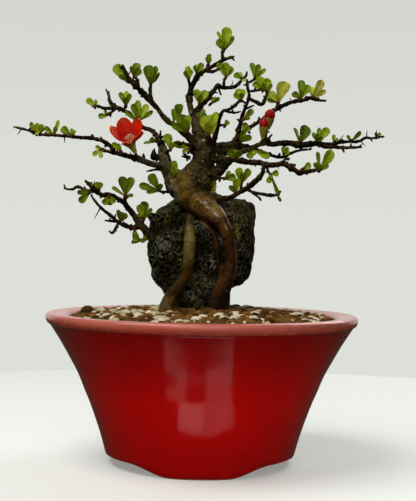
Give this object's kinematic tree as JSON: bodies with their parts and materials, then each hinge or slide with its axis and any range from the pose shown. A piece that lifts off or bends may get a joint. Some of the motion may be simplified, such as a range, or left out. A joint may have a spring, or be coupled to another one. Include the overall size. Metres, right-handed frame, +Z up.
{
  "type": "potted bonsai tree",
  "caption": "Dwarf flowering quince grown over a dark lava rock, with bare exposed roots, small leaves and red blossom, in a round flared red pot.",
  "frame": {"origin": "centre of the circle on which the pot's feet stand, on the standing surface", "axes": "+Z up, +X to the right and +Y to the back as seen from the side with the open flower on the left"},
  "size_m": [0.1802, 0.15, 0.2122],
  "materials": {
    "glaze": "glossy deep red glaze, thinner and paler along the lip, bare tan clay at the feet",
    "mesh": "black plastic mesh",
    "gravel": "coarse mixed grains of brown baked clay, cream pumice and dark lava",
    "lava": "rough pitted lava rock",
    "bark": "dark brown bark, smooth and reddish on the roots, flaky on the trunk",
    "leaf": "fresh green leaves with a soft sheen",
    "petal": "scarlet satin petals",
    "calyx": "matte pale green",
    "stamen": "pale yellow filaments and anthers"
  },
  "bodies": {
    "root": {"pot": "glaze", "drain_screen": "mesh", "soil": "gravel", "rock": "lava", "tree": "bark", "leaves_left_long_tip": "leaf", "leaves_left_long_outer": "leaf", "leaves_left_long_middle": "leaf", "leaves_left_mid_tip": "leaf", "leaves_left_limb_top": "leaf", "leaves_left_limb_foot": "leaf", "leaves_left_thorny_tip": "leaf", "leaves_left_thorny_upper": "leaf", "leaves_left_thorny_inner": "leaf", "leaves_left_upper_spur": "leaf", "leaves_left_upper_tip": "leaf", "leaves_left_upper_outer": "leaf", "leaves_leader_left": "leaf", "leaves_leader_left_spur": "leaf", "leaves_leader_knee": "leaf", "leaves_leader_top": "leaf", "leaves_inner_back_spur": "leaf", "leaves_leader_inner": "leaf", "leaves_inner_back_tip": "leaf", "leaves_right_leader_top": "leaf", "leaves_right_leader_side": "leaf", "leaves_right_leader_hook": "leaf", "leaves_right_leader_low": "leaf", "leaves_right_fork": "leaf", "leaves_front_arch": "leaf", "leaves_front_centre": "leaf", "leaves_left_inner": "leaf", "leaves_crown_back": "leaf", "leaves_right_upper_spur": "leaf", "leaves_right_upper_middle": "leaf", "leaves_right_upper_tip": "leaf", "leaves_right_tip_outer": "leaf", "leaves_right_long_outer": "leaf", "leaves_right_long_middle": "leaf", "leaves_right_limb_outer": "leaf", "leaves_right_long_inner": "leaf", "leaves_right_lower_tip": "leaf", "leaves_right_hanger": "leaf", "leaves_right_drop_spur": "leaf", "leaves_right_drop_foot": "leaf", "leaves_right_lower_foot": "leaf", "leaves_right_dark_twig": "leaf", "leaves_left_spray": "leaf", "leaves_left_lower_side": "leaf", "leaves_left_lower_middle": "leaf", "leaves_left_lower_spur": "leaf", "leaves_left_lower_inner": "leaf", "flower_petals": "petal", "flower_calyx": "calyx", "flower_stamens": "stamen", "bud_1_petals": "petal", "bud_1_calyx": "calyx", "bud_2_petals": "petal", "bud_2_calyx": "calyx"}
  },
  "joints": []
}
